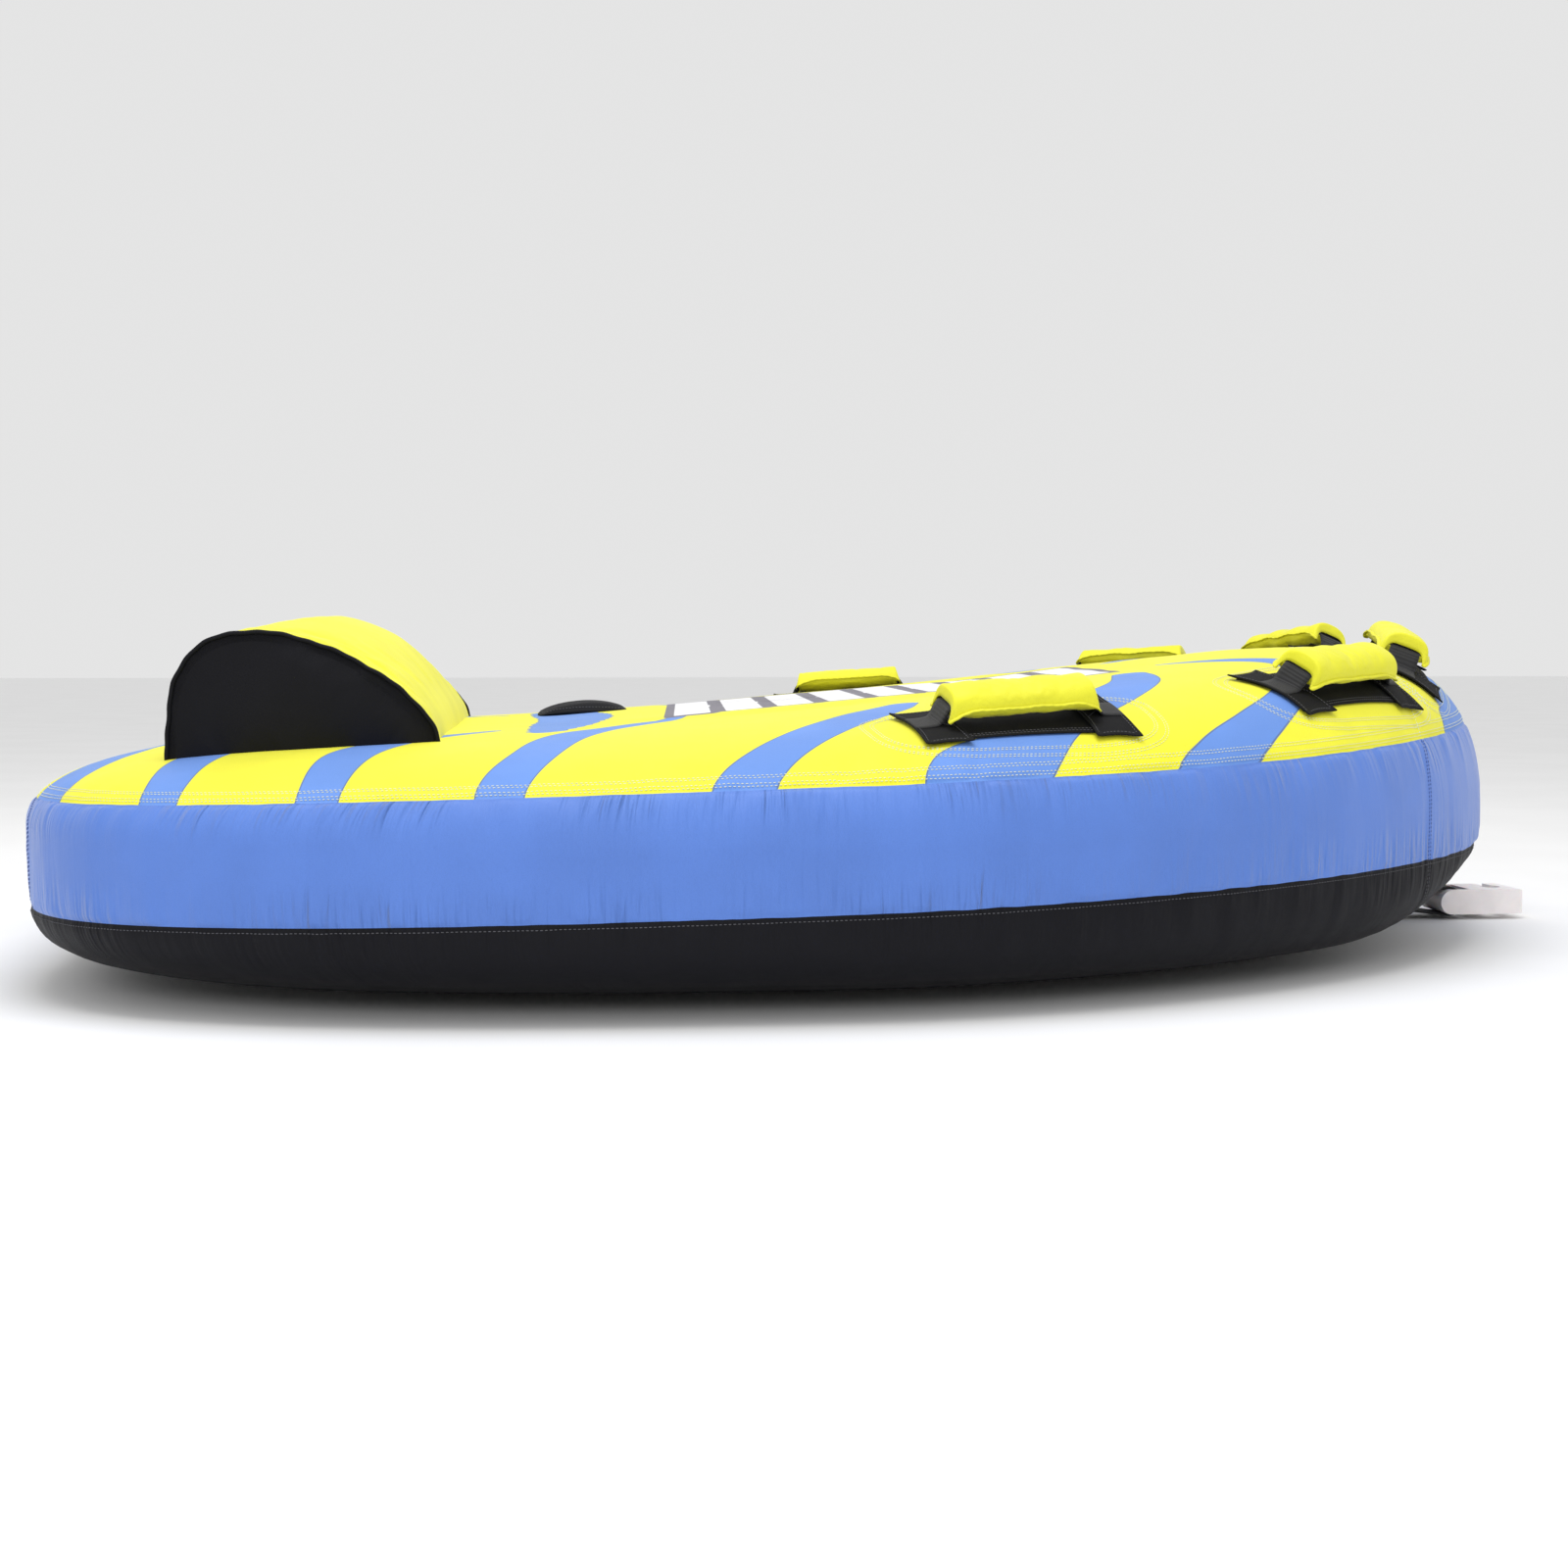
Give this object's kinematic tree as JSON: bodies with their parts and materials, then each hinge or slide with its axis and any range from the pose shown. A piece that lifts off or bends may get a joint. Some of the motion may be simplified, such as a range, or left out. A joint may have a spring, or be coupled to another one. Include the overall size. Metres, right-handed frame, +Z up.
{
  "type": "towable tube",
  "caption": "Inflatable towable deck tube with a low backrest, padded grips with knuckle guards, a valve flap and a quick tow connector.",
  "frame": {"origin": "on the ground, at the centre of the whole object's box", "axes": "+X towards the bow and its tow connector, +Y to the rider's left, +Z up"},
  "size_m": [1.9357, 1.4292, 0.4094],
  "materials": {
    "deck_nylon": "coated woven nylon, printed",
    "band_nylon": "coated woven nylon, satin",
    "black_nylon": "coated woven nylon",
    "guard_nylon": "padded woven nylon",
    "webbing": "woven webbing",
    "foam": "closed-cell foam",
    "bladder_film": "welded vinyl film",
    "connector_plastic": "moulded nylon",
    "valve_plastic": "moulded plastic",
    "zip_metal": "painted die-cast"
  },
  "bodies": {
    "root": {"backrest_bladder": "bladder_film", "backrest_end_panel_left": "black_nylon", "backrest_end_panel_right": "black_nylon", "backrest_piping_left": "black_nylon", "backrest_piping_right": "black_nylon", "backrest_valve": "valve_plastic", "backrest_wrap": "deck_nylon", "bottom_cover": "black_nylon", "bow_band": "band_nylon", "handle_base_bow_left": "black_nylon", "handle_base_bow_right": "black_nylon", "handle_base_front_left": "black_nylon", "handle_base_front_right": "black_nylon", "handle_base_mid_left": "black_nylon", "handle_base_mid_right": "black_nylon", "handle_end_patches_bow_left": "black_nylon", "handle_end_patches_bow_right": "black_nylon", "handle_end_patches_front_left": "black_nylon", "handle_end_patches_front_right": "black_nylon", "handle_end_patches_mid_left": "black_nylon", "handle_end_patches_mid_right": "black_nylon", "main_bladder": "bladder_film", "main_valve_base": "valve_plastic", "main_valve_core": "valve_plastic", "nose_bottom_cover": "black_nylon", "nose_cover": "deck_nylon", "side_band_left": "band_nylon", "side_band_right": "band_nylon", "stern_band": "band_nylon", "top_cover": "deck_nylon", "tow_harness_strap": "webbing", "tow_webbing_loop": "webbing", "zip_tape": "webbing", "zip_teeth": "valve_plastic"},
    "grip_mid_left": {"knuckle_guard_mid_left": "guard_nylon", "guard_foam_mid_left": "foam", "grip_webbing_mid_left": "webbing"},
    "grip_mid_right": {"knuckle_guard_mid_right": "guard_nylon", "guard_foam_mid_right": "foam", "grip_webbing_mid_right": "webbing"},
    "grip_front_left": {"knuckle_guard_front_left": "guard_nylon", "guard_foam_front_left": "foam", "grip_webbing_front_left": "webbing"},
    "grip_front_right": {"knuckle_guard_front_right": "guard_nylon", "guard_foam_front_right": "foam", "grip_webbing_front_right": "webbing"},
    "grip_bow_left": {"knuckle_guard_bow_left": "guard_nylon", "guard_foam_bow_left": "foam", "grip_webbing_bow_left": "webbing"},
    "grip_bow_right": {"knuckle_guard_bow_right": "guard_nylon", "guard_foam_bow_right": "foam", "grip_webbing_bow_right": "webbing"},
    "connector": {"tow_quick_connector": "connector_plastic"},
    "flap": {"valve_flap": "black_nylon"},
    "valve_cap": {"main_valve_cap": "valve_plastic"},
    "plug": {"backrest_valve_plug": "valve_plastic"},
    "slider": {"zip_slider": "zip_metal", "zip_pull_tab": "zip_metal"}
  },
  "joints": [
    {"name": "grip_roll_mid_left", "type": "hinge", "parent": "root", "child": "grip_mid_left", "pos_m": [0.11041, 0.58239, 0.32146], "axis": [0.9866, -0.1502, 0.064], "range_deg": [-20, 20], "stiffness_Nm_per_rad": 0.06},
    {"name": "grip_roll_mid_right", "type": "hinge", "parent": "root", "child": "grip_mid_right", "pos_m": [0.11041, -0.58239, 0.32146], "axis": [0.9866, 0.1502, 0.064], "range_deg": [-20, 20], "stiffness_Nm_per_rad": 0.06},
    {"name": "grip_roll_front_left", "type": "hinge", "parent": "root", "child": "grip_front_left", "pos_m": [0.53959, 0.40494, 0.35505], "axis": [0.8305, -0.5548, 0.0503], "range_deg": [-20, 20], "stiffness_Nm_per_rad": 0.06},
    {"name": "grip_roll_front_right", "type": "hinge", "parent": "root", "child": "grip_front_right", "pos_m": [0.53959, -0.40494, 0.35505], "axis": [0.8305, 0.5548, 0.0503], "range_deg": [-20, 20], "stiffness_Nm_per_rad": 0.06},
    {"name": "grip_roll_bow_left", "type": "hinge", "parent": "root", "child": "grip_bow_left", "pos_m": [0.71264, 0.17672, 0.38239], "axis": [0.2908, -0.9507, 0.108], "range_deg": [-20, 20], "stiffness_Nm_per_rad": 0.06},
    {"name": "grip_roll_bow_right", "type": "hinge", "parent": "root", "child": "grip_bow_right", "pos_m": [0.71264, -0.17672, 0.38239], "axis": [0.2908, 0.9507, 0.108], "range_deg": [-20, 20], "stiffness_Nm_per_rad": 0.06},
    {"name": "connector_pivot", "type": "hinge", "parent": "root", "child": "connector", "pos_m": [0.8635, 0, 0.024], "axis": [0, -1, 0], "range_deg": [-8, 60]},
    {"name": "flap_swing", "type": "hinge", "parent": "root", "child": "flap", "pos_m": [-0.26883, 0.23001, 0.29072], "axis": [0, 1, -0.001], "range_deg": [0, 120]},
    {"name": "valve_cap_turn", "type": "hinge", "parent": "root", "child": "valve_cap", "pos_m": [-0.331, 0.23, 0.28278], "axis": [-0.0534, 0.001, 0.9986], "range_deg": [0, 270]},
    {"name": "backrest_plug_swing", "type": "hinge", "parent": "root", "child": "plug", "pos_m": [-0.7889, 0, 0.327], "axis": [0, 1, 0], "range_deg": [0, 150]},
    {"name": "zip_slide", "type": "slide", "parent": "root", "child": "slider", "axis": [0, 1, 0], "range_m": [-0.464, 0]}
  ]
}
